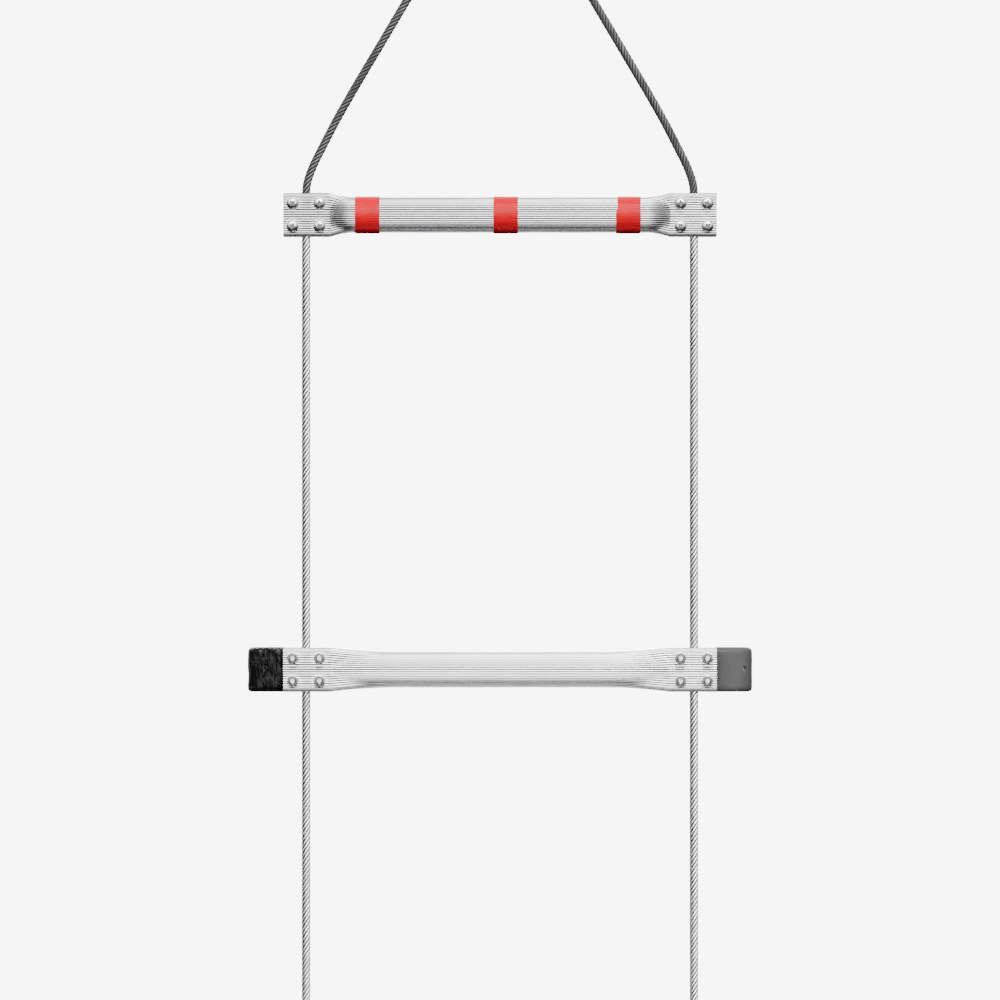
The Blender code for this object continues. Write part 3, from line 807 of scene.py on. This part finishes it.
# ---- red bands ----
def add_band(name, node, step):
    """Tape wrapped over the ribs, a little ragged at its edges."""
    low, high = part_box(node)
    radius = size(node).z / 2 - 0.0001
    width = high[0] - low[0]
    count = 144
    rings = []
    for across in np.linspace(-0.5, 0.5, 15):
        ring = []
        for n in range(count):
            angle = 2 * pi * n / count
            torn = Vector((cos(angle) * 3, sin(angle) * 3, 9 * np.sign(across) + low[0] * 90))
            ragged = 0.00025 * noise.noise(torn)
            shift = step if across < -0.4 and angle % (2 * pi) < pi * 0.93 else 0.0
            rib = 0.00012 * (0.5 + 0.5 * cos(angle * RIBS))
            bumpy = Vector((across * 4, cos(angle) * 6, sin(angle) * 6 + low[0] * 50))
            lift = 0.00010 * noise.noise(bumpy)
            r = radius - rib + lift - (0.00010 if abs(across) == 0.5 else 0)
            ring.append((across * width + ragged + shift, r * cos(angle), r * sin(angle)))
        rings.append(ring)
    inner = [[(x, y * 0.972, z * 0.972) for x, y, z in ring] for ring in (rings[0], rings[-1])]
    mesh = mesh_of(name, *lofted([inner[0], *rings, inner[1]], closed_ends=False), sharp=50)
    bm = bmesh.new()
    bm.from_mesh(mesh)
    bmesh.ops.bridge_loops(bm, edges=[e for e in bm.edges if e.is_boundary])
    bmesh.ops.recalc_face_normals(bm, faces=bm.faces)
    made = piece(name, written(bm, mesh), TAPE)
    made.location = ((low[0] + high[0]) / 2, 0, RUNG_Z[0])
    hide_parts(node)
    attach(made, "top_rung")


# ---- screws and nuts ----
HEAD_R = 0.00475
HEAD_H = 0.0034
NUT_ACROSS = 0.0080
NUT_H = 0.0040
THREAD_PITCH = 0.0008
THREAD_DEPTH = 0.00030
TIP_R = 0.0017  # the flat end of a screw's thread
CLEAR = 0.0001  # between faces that touch


def screw_mesh(reach):
    """A pan head with a cross recess above height 0, and a threaded shank reach long below it."""
    dome = [(HEAD_R * sin(a), HEAD_H * (0.30 + 0.70 * cos(a))) for a in np.linspace(0, pi / 2, 10)]
    head = lathed_mesh("head", dome + [(HEAD_R, 0.0004), (HEAD_R - 0.0003, 0), (0, 0)], 40, 50)
    head.materials.append(ZINC)
    cross = []
    for turn in (0, pi / 2):
        slot = block((0.0052, 0.0014, 0.0040), (0, 0, HEAD_H))
        slot.transform(Matrix.Rotation(turn, 4, "Z"))
        cross.append(("DIFFERENCE", slot))
    pit = [(0, HEAD_H * 0.36), (0.0012, HEAD_H * 0.5), (0.0018, HEAD_H + 0.0002), (0, HEAD_H + 0.0004)]
    cross.append(("DIFFERENCE", lathed_mesh("cone", pit, 12)))
    # the recess faces take the painted shade material
    for _, tool in cross:
        tool.materials.append(RECESS_SHADE)
    head = carved(head, cross, 30)
    sides, rows = 24, int((reach - 0.0008) / (THREAD_PITCH / 8))
    rings = []
    for row in range(rows + 1):
        z = -reach + 0.0006 + (reach - 0.0004) * row / rows
        ring = []
        for n in range(sides):
            angle = 2 * pi * n / sides
            saw = abs(((z / THREAD_PITCH - n / sides) % 1) * 2 - 1)
            r = SCREW_D / 2 - THREAD_DEPTH * saw
            ring.append((r * cos(angle), r * sin(angle), z))
        rings.append(ring)
    angles = [2 * pi * n / sides for n in range(sides)]
    tip = [(TIP_R * cos(a), TIP_R * sin(a), -reach) for a in angles]
    shank = mesh_of("shank", *lofted([tip] + rings), sharp=30)
    bm = bmesh.new()
    bm.from_mesh(head)
    bm.from_mesh(shank)
    mesh = written(bm, bpy.data.meshes.new("pan_head_screw"))
    for material in head.materials:
        mesh.materials.append(material)
    return smoothed(mesh, 32)


def nut_mesh():
    """A chamfered hexagon from height 0 up, with a countersunk bore."""
    corner = NUT_ACROSS / 2 / cos(pi / 6)
    prism = cylinder(corner, NUT_H, "Z", (0, 0, NUT_H / 2), 6)
    prism.materials.append(NUT)
    round_off = lathed_mesh("round_off", [
        (0, NUT_H), (NUT_ACROSS / 2 - 0.0004, NUT_H), (corner + 0.0001, NUT_H - 0.0007),
        (corner + 0.0001, 0.0004), (NUT_ACROSS / 2, 0), (0, 0)], 48)
    bore = lathed_mesh("bore", [
        (0, NUT_H + 0.001), (0.0030, NUT_H + 0.001), (0.00295, NUT_H), (0.00258, NUT_H - 0.0008),
        (0.00258, 0.0006), (0.0031, 0), (0.0033, -0.001), (0, -0.001)], 32)
    # the bore's faces take the painted shade material
    bore.materials.append(RECESS_SHADE)
    return carved(prism, [("INTERSECT", round_off), ("DIFFERENCE", bore)], 25)


def screw_places(level):
    return [
        Vector((side * ROPE_X + dx, 0, RUNG_Z[level] + dz))
        for side in (-1, 1)
        for dz in (SCREW_DZ, -SCREW_DZ)
        for dx in (-SCREW_DX, SCREW_DX)
    ]


def facing(direction, spin):
    """A turn that points +Z along direction, spun about it."""
    return (Vector((0, 0, 1)).rotation_difference(Vector(direction)).to_matrix().to_4x4()
            @ Matrix.Rotation(spin, 4, "Z"))


def add_fasteners(body, level, head_side, behind, spare, has_nodes):
    front = -FLAT_DEPTH / 2 - CLEAR
    back = FLAT_DEPTH / 2 + CLEAR + behind
    seat, nut_seat = (front, back) if head_side < 0 else (back, front)
    reach = abs(nut_seat - seat) + NUT_H + spare
    screw, nut = screw_mesh(reach), nut_mesh()
    for n, place in enumerate(screw_places(level), 1):
        spin = radians(47 * n * n % 360)
        bolt = piece(f"{body}_pan_screw_{n}", screw, ZINC)
        on_seat = Matrix.Translation(place + Vector((0, seat, 0)))
        bolt.matrix_world = on_seat @ facing((0, head_side, 0), spin)
        made = piece(f"{body}_hex_nut_{n}", nut, ZINC)
        on_nut_seat = Matrix.Translation(place + Vector((0, nut_seat, 0)))
        made.matrix_world = on_nut_seat @ facing((0, -head_side, 0), spin * 1.7)
        for shown, node in ((bolt, f"{body}_screw_{n}"), (made, f"{body}_nut_{n}")):
            if has_nodes:
                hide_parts(node)
            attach(shown, body)


# ---- standoffs ----
STRAP_THICK = 0.0025
STRAP_BEND = 0.0075
SLEEVE_WALL = 0.0025
SLEEVE_HEIGHT = size("right_standoff_sleeve").z
SLEEVE_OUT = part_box("right_standoff_sleeve")[1][0]
DRAIN_X = RUNG_HALF + 0.0222
WALL_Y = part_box("right_standoff_sleeve")[1][1]


def standoff_line(start_x, end_gap):
    """The strap's middle line on the right side in X and Y, evenly stepped."""
    y_back = FLAT_DEPTH / 2 + GAP + STRAP_THICK / 2
    x_out = SLEEVE_OUT - SLEEVE_WALL - STRAP_THICK / 2
    y_wall = WALL_Y - SLEEVE_WALL - STRAP_THICK / 2
    bend, foot = STRAP_BEND, 0.026
    line = [(start_x, y_back)]
    for centre_y, first in ((y_back + bend, -90), (y_wall - bend, 0)):
        for n in range(11):
            a = radians(first + 9 * n)
            line.append((x_out - bend + bend * cos(a), centre_y + bend * sin(a)))
    line.append((x_out - foot + end_gap, y_wall))
    return evenly([(x, y, 0) for x, y in line], 0.0011)[0]


def swept_slab(line, half_thick, half_high, corner, crinkle=0.0, seed=0.0, shrink=None):
    """Rings of a round-cornered slab along a line in X and Y."""
    way = directions(line)
    across = np.stack([way[:, 1], -way[:, 0], np.zeros(len(way))], -1)
    count = 76
    section = []
    for n in range(count):
        a = 2 * pi * (n + 0.5) / count
        ratio = half_high / half_thick
        way2 = Vector((cos(a), sin(a) * (1 + (ratio - 1) * 0.9))).normalized()
        section.append(flat_point(way2, half_thick, half_high, corner))
    rings = []
    for k, (place, side) in enumerate(zip(line, across)):
        scale = 1.0 if shrink is None else shrink(k, len(line))
        ring = []
        for point in section:
            t, z = point.x * scale, point.y * (0.5 + 0.5 * scale)
            if crinkle:
                spot = Vector((place[0] * 330 + place[1] * 120 + seed, t * 260, z * 95))
                fold = noise.noise(spot) + 0.5 * noise.noise(spot * 2.1)
                t += crinkle * fold * (1 if t > 0 else -1)
                z += crinkle * 0.5 * noise.noise(spot * 0.6 + Vector((4, 4, 4)))
            ring.append((place[0] + side[0] * t, place[1] + side[1] * t, z))
        rings.append(ring)
    return rings


def rounded_end(k, count):
    """Narrow a slab's last rings so that its end is round."""
    left = count - 1 - k
    return 1.0 if left >= 3 else (0.62, 0.84, 0.95)[left]


def sleeve_mesh(crinkle, seed, corner):
    skin = swept_slab(standoff_line(RUNG_HALF + GAP, 0), STRAP_THICK / 2 + SLEEVE_WALL, SLEEVE_HEIGHT / 2,
                      corner, crinkle, seed, rounded_end)
    pocket = swept_slab(standoff_line(RUNG_HALF + GAP, 0.004), STRAP_THICK / 2 + GAP, 0.0153, 0.0008)
    verts, faces = lofted(skin, closed_ends=False)
    inner, inner_faces = lofted(pocket, closed_ends=False)
    start, sides = len(verts), len(skin[0])
    faces += [[v + start for v in face[::-1]] for face in inner_faces]
    faces.append(list(range(len(verts) - sides, len(verts))))
    faces.append(list(range(start + len(inner) - sides, start + len(inner))))
    for n in range(sides):
        m = (n + 1) % sides
        faces.append([n, m, start + m, start + n])
    return mesh_of("sleeve", np.vstack([verts, inner]), faces, sharp=55)


def drain_tool():
    """The countersunk drain hole's shape, square to the sleeve's outer bend and down to the strap."""
    outer = STRAP_BEND + STRAP_THICK / 2 + SLEEVE_WALL
    front = FLAT_DEPTH / 2 + GAP - SLEEVE_WALL
    centre = Vector((SLEEVE_OUT - outer, front + outer, 0.001))
    tilt = asin((DRAIN_X - centre.x) / outer)
    out = Vector((sin(tilt), -cos(tilt), 0))
    hole_r, sink_r, deep, above = 0.0013, 0.0022, 0.0032, 0.0012
    bore = [(0, -deep), (hole_r, -deep), (hole_r, -0.0010)]
    tool = lathed_mesh("drain", bore + [(sink_r, 0.0001), (sink_r, above), (0, above)], 24)
    tool.transform(Matrix.Translation(centre + outer * out) @ facing(out, 0))
    return tool


def add_standoff(side_name, side):
    crinkled = side < 0
    mesh = sleeve_mesh(0.00045 if crinkled else 0.00008, 3.0 * side, 0.0032 if crinkled else 0.0035)
    if side > 0:
        mesh = carved(mesh, [("DIFFERENCE", drain_tool())], 55)
    if side < 0:
        mesh.transform(Matrix.Scale(-1, 4, (1, 0, 0)))
        mesh.flip_normals()
    rubber = GLOSSY_RUBBER if crinkled else DULL_RUBBER
    made = piece(f"{side_name}_rubber_sleeve", mesh, rubber)
    made.location.z = RUNG_Z[1]
    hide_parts(f"{side_name}_standoff_sleeve")
    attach(made, "middle_rung")
    add_strap(side_name, side)


def add_strap(side_name, side):
    start = ROPE_X - SCREW_DX - 0.0075
    rings = swept_slab(standoff_line(start, 0.0045), STRAP_THICK / 2, 0.015, 0.0007)
    mesh = mesh_of("strap", *lofted(rings), sharp=50)
    if side < 0:
        mesh.transform(Matrix.Scale(-1, 4, (1, 0, 0)))
        mesh.flip_normals()
    holes = [
        ("DIFFERENCE", cylinder(SCREW_D / 2 + 0.0002, 0.02, "Y", place - Vector((0, 0, RUNG_Z[1])), 24))
        for place in screw_places(1) if place.x * side > 0
    ]
    made = piece(f"{side_name}_strap", carved(mesh, holes, 50), STRAP)
    made.location.z = RUNG_Z[1]
    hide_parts(f"{side_name}_standoff_strap")
    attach(made, "middle_rung")


# ---- ferrules ----
def add_stop_ferrule(side_name):
    node = f"{side_name}_stop_ferrule"
    place, extent = middle(node), size(node)
    r, h, bore, soft, sides = extent.x / 2, extent.z / 2, ROPE_D / 2 + CLEAR, 0.0011, 48
    outer = [(bore, h), (r - soft, h), (r - soft * 0.3, h - soft * 0.3), (r, h - soft)]
    outer += [(r - 0.00035, h - 0.0030), (r - 0.00035, 0.0012), (r, 0.0006), (r, -0.0006)]
    outer += [(r - 0.00035, -0.0012), (r - 0.00035, -h + 0.0030), (r, -h + soft)]
    outer += [(r - soft * 0.3, -h + soft * 0.3), (r - soft, -h), (bore, -h)]
    verts, faces = lathe(outer, sides)
    faces = faces[:-2] + closed_ring(0, (len(outer) - 1) * sides, sides)
    made = piece(f"{node}_pressed", mesh_of(node, verts, faces, sharp=45), PRESSED)
    made.location = place
    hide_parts(node)
    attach(made, "bottom_rung")


def stadium_ring(half_x, radius, z, count=64):
    """A ring of points round a stadium, evenly by angle about each end."""
    side = half_x - radius
    ring = []
    for n in range(count):
        a = 2 * pi * (n + 0.5) / count
        ring.append((radius * cos(a) + (side if cos(a) > 0 else -side), radius * sin(a), z))
    return ring


def add_eye_ferrule():
    node = "eye_ferrule"
    place, extent = middle(node), size(node)
    hx, ry, h = extent.x / 2, extent.y / 2, extent.z / 2
    bore_x, bore_y = 0.0075, 0.0037
    levels = [(0.0016, h), (0.0005, h - 0.0004), (0, h - 0.0016)]
    for n in range(7):
        z = h - 0.0035 - (2 * h - 0.0070) * n / 6
        levels += [(0.0, z + 0.0006), (0.00040, z), (0.0, z - 0.0006)]
    levels += [(0, -h + 0.0016), (0.0005, -h + 0.0004), (0.0016, -h)]
    rings = [stadium_ring(bore_x, bore_y, h)]
    rings += [stadium_ring(hx - cut, ry - cut, z) for cut, z in levels]
    rings += [stadium_ring(bore_x, bore_y, -h)]
    verts, faces = lofted(rings, closed_ends=False)
    sides = len(rings[0])
    faces += closed_ring(0, len(verts) - sides, sides)
    mesh = mesh_of(node, verts, faces, sharp=45)
    made = piece("eye_ferrule_pressed", mesh, PRESSED)
    made.location = place
    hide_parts(node)
    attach(made, "bridle")


# ---- thimble ----
def add_thimble():
    """A grooved strip inside the rope's eye, swept along the rope's own line."""
    low_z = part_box("thimble")[0][2]
    half = [(x, 0, z) for x, z in BRIDLE_ROUTE if z > low_z - 0.004]
    line = evenly(smooth_route(half + [(-x, 0, z) for x, _, z in half[-2::-1]], 12), 0.0009)[0]
    line = line[4:-4]
    deep, wide, wall = ROPE_D / 2 + GAP, ROPE_D / 2 + GAP, 0.0013
    section = [(-wide - wall, -0.0002), (-wide - wall * 0.5, -0.0006), (-wide, -0.0002)]
    section += [(-wide * cos(a), deep * sin(a) * 0.96) for a in np.linspace(0.15, pi - 0.15, 13)]
    section += [(wide, -0.0002), (wide + wall * 0.5, -0.0006), (wide + wall, -0.0002)]
    section += [(wide + wall, deep - 0.0004), (wide + wall - 0.0006, deep + 0.0010)]
    section += [(wide, deep + 0.0014), (0, deep + 0.00142)]
    section += [(-wide, deep + 0.0014), (-wide - wall + 0.0006, deep + 0.0010), (-wide - wall, deep - 0.0004)]
    inward = np.cross([0.0, 1.0, 0.0], directions(line))
    centre = np.array([0, 0, middle("thimble").z])
    if ((centre - line) * inward).sum() < 0:
        inward = -inward
    rings = [
        [place + np.array([0, y, 0]) + r * turn for y, r in section] for place, turn in zip(line, inward)
    ]
    mesh = mesh_of("thimble", *lofted(rings), sharp=50)
    piece("grooved_thimble", mesh, ZINC, "bridle", "thimble")


# ---- hook ----
BAR_R = size("hook_frame").x / 2
HOOK_LOW, HOOK_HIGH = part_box("hook_frame")
TOP_BOW_R = 0.020
LOW_BOW_R = 0.018
TOP_BOW_Z = HOOK_HIGH[2] - BAR_R - TOP_BOW_R
LOW_BOW_Z = HOOK_LOW[2] + BAR_R + LOW_BOW_R
GATE_PIVOT = Vector((0, -0.0185, -0.0660))
GATE_TIP = Vector((0, -0.0198, -0.0195))
GATE_R = 0.0047
RIVET_R = 0.0017
LUG_WIDTH = 0.0060
FLANK_R = 0.0066
FLANK_X = 0.0051


def bar_rings(points, radius, sides=36):
    line = evenly(points, 0.0012)[0]
    sideways = np.array([1.0, 0.0, 0.0])
    across = np.cross(directions(line), sideways)
    angle = 2 * pi * np.arange(sides) / sides
    out = np.cos(angle)[None, :, None] * across[:, None] + np.sin(angle)[None, :, None] * sideways
    return line[:, None] + radius * out


def arc_points(centre_z, radius, start, end, steps=40):
    angles = [radians(start + (end - start) * n / steps) for n in range(steps + 1)]
    return [(0, radius * cos(a), centre_z + radius * sin(a)) for a in angles]


def add_hook_frame():
    lean = 90 - acos((TOP_BOW_R - LOW_BOW_R) / (TOP_BOW_Z - LOW_BOW_Z)) * 180 / pi
    line = arc_points(TOP_BOW_Z, TOP_BOW_R, 180, -lean) + arc_points(LOW_BOW_Z, LOW_BOW_R, -lean, -178)
    line.append((0, GATE_PIVOT.y + 0.0004, GATE_PIVOT.z - 0.0030))
    bar = mesh_of("hook", *lofted(bar_rings(line, BAR_R)), sharp=40)
    cuts = [("UNION", cylinder(BAR_R + 0.0006, LUG_WIDTH, "X", GATE_PIVOT))]
    for side in (-1, 1):
        flank = cylinder(FLANK_R, LUG_WIDTH, "X", GATE_PIVOT + Vector((side * FLANK_X, 0, 0)), 48)
        cuts.append(("DIFFERENCE", flank))
    cuts.append(("DIFFERENCE", cylinder(RIVET_R + CLEAR, 0.02, "X", GATE_PIVOT, 24)))
    nose = block((0.0030, 0.0036, 0.0080), GATE_TIP + Vector((0, -0.0004, 0.0018)))
    cuts.append(("UNION", nose))
    mesh = softened(carved(bar, cuts, 35), 0.00035)
    piece("hook_body", mesh, FORGED, "hook", "hook_frame")


def softened(mesh, width):
    """Slightly rounded edges on a carved mesh."""
    holder = linked("softening", mesh)
    bevel = holder.modifiers.new("edges", "BEVEL")
    bevel.width = width
    bevel.segments = 2
    bevel.limit_method = "ANGLE"
    bevel.angle_limit = radians(40)
    done = baked(holder, 40)
    bpy.data.objects.remove(holder)
    return done


def add_gate():
    along = GATE_TIP - GATE_PIVOT
    tip = along.length
    place = Matrix.Translation(GATE_PIVOT) @ facing(along, 0)
    bar = cylinder(GATE_R, tip + 0.0004, "Z", (0, 0, tip / 2), 48)
    cuts = [
        ("UNION", cylinder(0.0050, 0.0096, "X", (0, 0, 0), 48)),
        ("DIFFERENCE", block((0.0048, 0.0200, 0.0190), (0, 0, -0.0023))),
        ("DIFFERENCE", cylinder(0.0021, 0.0240, "Z", (0, 0, 0.0150), 24)),
        ("DIFFERENCE", cylinder(RIVET_R + CLEAR, 0.02, "X", (0, 0, 0), 24)),
        ("DIFFERENCE", block((0.0036, 0.0074, 0.0080), (0, -0.0015, tip))),
    ]
    mesh = softened(carved(bar, cuts, 35), 0.00025)
    mesh.transform(place)
    piece("hook_gate_bar", mesh, FORGED, "gate", "hook_gate")
    add_spring(place)


def add_spring(place):
    turns, wire, coil_r, start, end = 6, 0.0003, 0.0014, 0.0075, 0.0262
    steps = 36 * turns
    line = []
    for n in range(steps + 1):
        a = 2 * pi * turns * n / steps
        height = start + (end - start) * n / steps
        line.append(place @ Vector((coil_r * cos(a), coil_r * sin(a), height)))
    data = bpy.data.curves.new("spring", "CURVE")
    data.dimensions = "3D"
    data.bevel_depth = wire
    data.bevel_resolution = 2
    data.use_fill_caps = True
    spline = data.splines.new("POLY")
    spline.points.add(len(line) - 1)
    for point, spot in zip(spline.points, line):
        point.co = (*spot, 1)
    made = linked("gate_coil", data)
    data.materials.append(SPRING)
    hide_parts("gate_spring")
    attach(made, "gate")


def add_rivet():
    half, head = 0.0051, 0.0026
    profile = [(head * sin(a), half + 0.0012 * cos(a)) for a in np.linspace(0, pi / 2, 8)]
    profile += [(RIVET_R, half), (RIVET_R, -half)]
    profile += [(head * sin(a), -half - 0.0012 * cos(a)) for a in np.linspace(pi / 2, 0, 8)]
    mesh = lathed_mesh("rivet", profile, 32, 40)
    mesh.transform(Matrix.Translation(GATE_PIVOT) @ Matrix.Rotation(pi / 2, 4, "Y"))
    piece("gate_rivet_domed", mesh, ZINC, "hook", "gate_rivet")


for side_name in ("left", "right"):
    add_stop_ferrule(side_name)
add_ropes()
for level, (name, taper) in enumerate(zip(RUNG_NAMES, (0.0185, 0.050, 0.050))):
    add_rung(name, level, taper)
for place, step in (("left", 0.0), ("centre", 0.0), ("right", 0.0012)):
    add_band(f"{place}_tape", f"{place}_red_band", step)
add_fasteners("top_rung", 0, -1, 0.0, 0.0015, True)
add_fasteners("middle_rung", 1, 1, STRAP_THICK + GAP, 0.0050, True)
add_fasteners("bottom_rung", 2, -1, 0.0, 0.0015, False)
add_standoff("left", -1)
add_standoff("right", 1)
add_eye_ferrule()
add_thimble()
add_hook_frame()
add_gate()
add_rivet()
